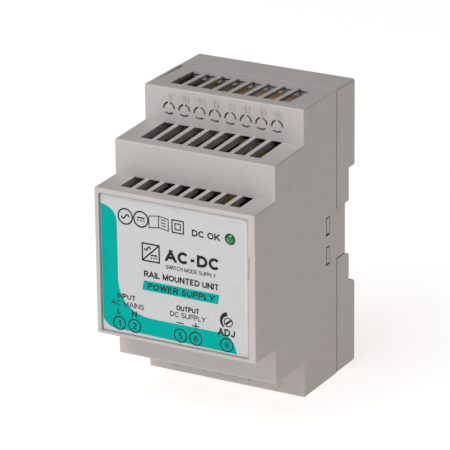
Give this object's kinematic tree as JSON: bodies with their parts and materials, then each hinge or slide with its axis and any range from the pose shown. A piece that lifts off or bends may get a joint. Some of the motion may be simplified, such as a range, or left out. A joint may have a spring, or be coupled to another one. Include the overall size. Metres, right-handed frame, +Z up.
{
  "type": "din rail power supply",
  "caption": "Stepped modular enclosure for a 35 mm rail with ventilation slots, screw terminals, a sprung rail clip, a trimmer, a lamp and a switching converter inside.",
  "frame": {"origin": "centre of the rail, on the plane of its front face, midway between the enclosure's sides", "axes": "+Y towards the wall behind the rail, -Y towards the user, +Z up, +X to the user's right"},
  "size_m": [0.053, 0.0625, 0.0925],
  "materials": {
    "housing": "fine-textured light warm grey moulded polymer",
    "panel": "smooth light grey moulded polymer",
    "label": "satin printed film",
    "clip": "black moulded polymer",
    "spring_steel": "drawn spring wire",
    "board": "tan paper laminate",
    "control_board": "green solder mask",
    "black_plastic": "black moulded polymer",
    "terminal": "dark grey moulded polymer",
    "plated_steel": "zinc plated",
    "tinned_copper": "tin plated",
    "trimmer_blue": "blue moulded polymer",
    "rotor": "turned brass",
    "fuse_brown": "brown moulded polymer",
    "blue_lacquer": "dipped epoxy coating",
    "green_lacquer": "dipped silicone coating",
    "film_box": "potted plastic box",
    "ferrite": "sintered ferrite",
    "copper_wire": "enamelled copper wire",
    "aluminium": "mill finish sheet",
    "sleeve": "shrink sleeve",
    "tape": "polyester tape",
    "pad_grey": "silicone pad",
    "lamp": "green tinted clear resin"
  },
  "bodies": {
    "enclosure": {"front_housing": "housing", "rear_base": "housing", "front_panel": "panel", "front_label": "label", "clip_spring": "spring_steel", "main_board": "board", "control_board": "control_board", "board_header": "black_plastic", "header_pins": "tinned_copper", "input_terminal_block": "terminal", "output_terminal_block": "terminal", "terminal_contacts": "tinned_copper", "trimmer_body": "trimmer_blue", "input_fuse": "fuse_brown", "surge_varistor": "blue_lacquer", "inrush_thermistor": "green_lacquer", "mains_filter_capacitor": "film_box", "common_mode_core": "ferrite", "common_mode_windings": "copper_wire", "bridge_rectifier": "black_plastic", "bulk_capacitor": "sleeve", "switching_transistor": "black_plastic", "transistor_pad": "pad_grey", "primary_heatsink": "aluminium", "transformer_core": "ferrite", "transformer_bobbin": "black_plastic", "transformer_winding": "tape", "core_tape": "tape", "output_rectifier": "black_plastic", "rectifier_pad": "pad_grey", "secondary_heatsink": "aluminium", "heatsink_screws": "plated_steel", "output_capacitor_1": "sleeve", "output_capacitor_2": "sleeve", "output_choke_core": "ferrite", "output_choke_winding": "copper_wire", "optocoupler": "black_plastic", "y_capacitor": "blue_lacquer", "control_chip": "black_plastic", "chip_components": "black_plastic", "status_led": "lamp", "led_leads": "tinned_copper"},
    "rail_clip": {"rail_clip": "clip"},
    "trimmer_rotor": {"trimmer_rotor": "rotor"},
    "terminal_screw_1": {"terminal_screw_1": "plated_steel"},
    "terminal_cage_1": {"terminal_cage_1": "plated_steel"},
    "terminal_screw_2": {"terminal_screw_2": "plated_steel"},
    "terminal_cage_2": {"terminal_cage_2": "plated_steel"},
    "terminal_screw_5": {"terminal_screw_5": "plated_steel"},
    "terminal_cage_5": {"terminal_cage_5": "plated_steel"},
    "terminal_screw_6": {"terminal_screw_6": "plated_steel"},
    "terminal_cage_6": {"terminal_cage_6": "plated_steel"}
  },
  "joints": [
    {"name": "clip_slide", "type": "slide", "parent": "enclosure", "child": "rail_clip", "axis": [0, 0, -1], "range_m": [0, 0.004], "stiffness_N_per_m": 300, "springref_m": -0.004, "deforming": ["clip_spring"]},
    {"name": "trimmer_turn", "type": "hinge", "parent": "enclosure", "child": "trimmer_rotor", "pos_m": [0.0177, -0.012, -0.03865], "axis": [0, 1, 0], "range_deg": [-135, 135]},
    {"name": "screw_1_turn", "type": "hinge", "parent": "enclosure", "child": "terminal_screw_1", "pos_m": [-0.0182, -0.0222, -0.03865], "axis": [0, 1, 0], "range_deg": [0, 1800]},
    {"name": "cage_1_rise", "type": "slide", "parent": "enclosure", "child": "terminal_cage_1", "axis": [0, -1, 0], "range_m": [0, 0.00225]},
    {"name": "screw_2_turn", "type": "hinge", "parent": "enclosure", "child": "terminal_screw_2", "pos_m": [-0.01307, -0.0222, -0.03865], "axis": [0, 1, 0], "range_deg": [0, 1800]},
    {"name": "cage_2_rise", "type": "slide", "parent": "enclosure", "child": "terminal_cage_2", "axis": [0, -1, 0], "range_m": [0, 0.00225]},
    {"name": "screw_5_turn", "type": "hinge", "parent": "enclosure", "child": "terminal_screw_5", "pos_m": [0.00231, -0.0222, -0.03865], "axis": [0, 1, 0], "range_deg": [0, 1800]},
    {"name": "cage_5_rise", "type": "slide", "parent": "enclosure", "child": "terminal_cage_5", "axis": [0, -1, 0], "range_m": [0, 0.00225]},
    {"name": "screw_6_turn", "type": "hinge", "parent": "enclosure", "child": "terminal_screw_6", "pos_m": [0.00745, -0.0222, -0.03865], "axis": [0, 1, 0], "range_deg": [0, 1800]},
    {"name": "cage_6_rise", "type": "slide", "parent": "enclosure", "child": "terminal_cage_6", "axis": [0, -1, 0], "range_m": [0, 0.00225]}
  ],
  "couplings": [
    {"joint": "screw_1_turn", "follows": "cage_1_rise", "rad_per_m": 13963},
    {"joint": "screw_2_turn", "follows": "cage_2_rise", "rad_per_m": 13963},
    {"joint": "screw_5_turn", "follows": "cage_5_rise", "rad_per_m": 13963},
    {"joint": "screw_6_turn", "follows": "cage_6_rise", "rad_per_m": 13963}
  ]
}
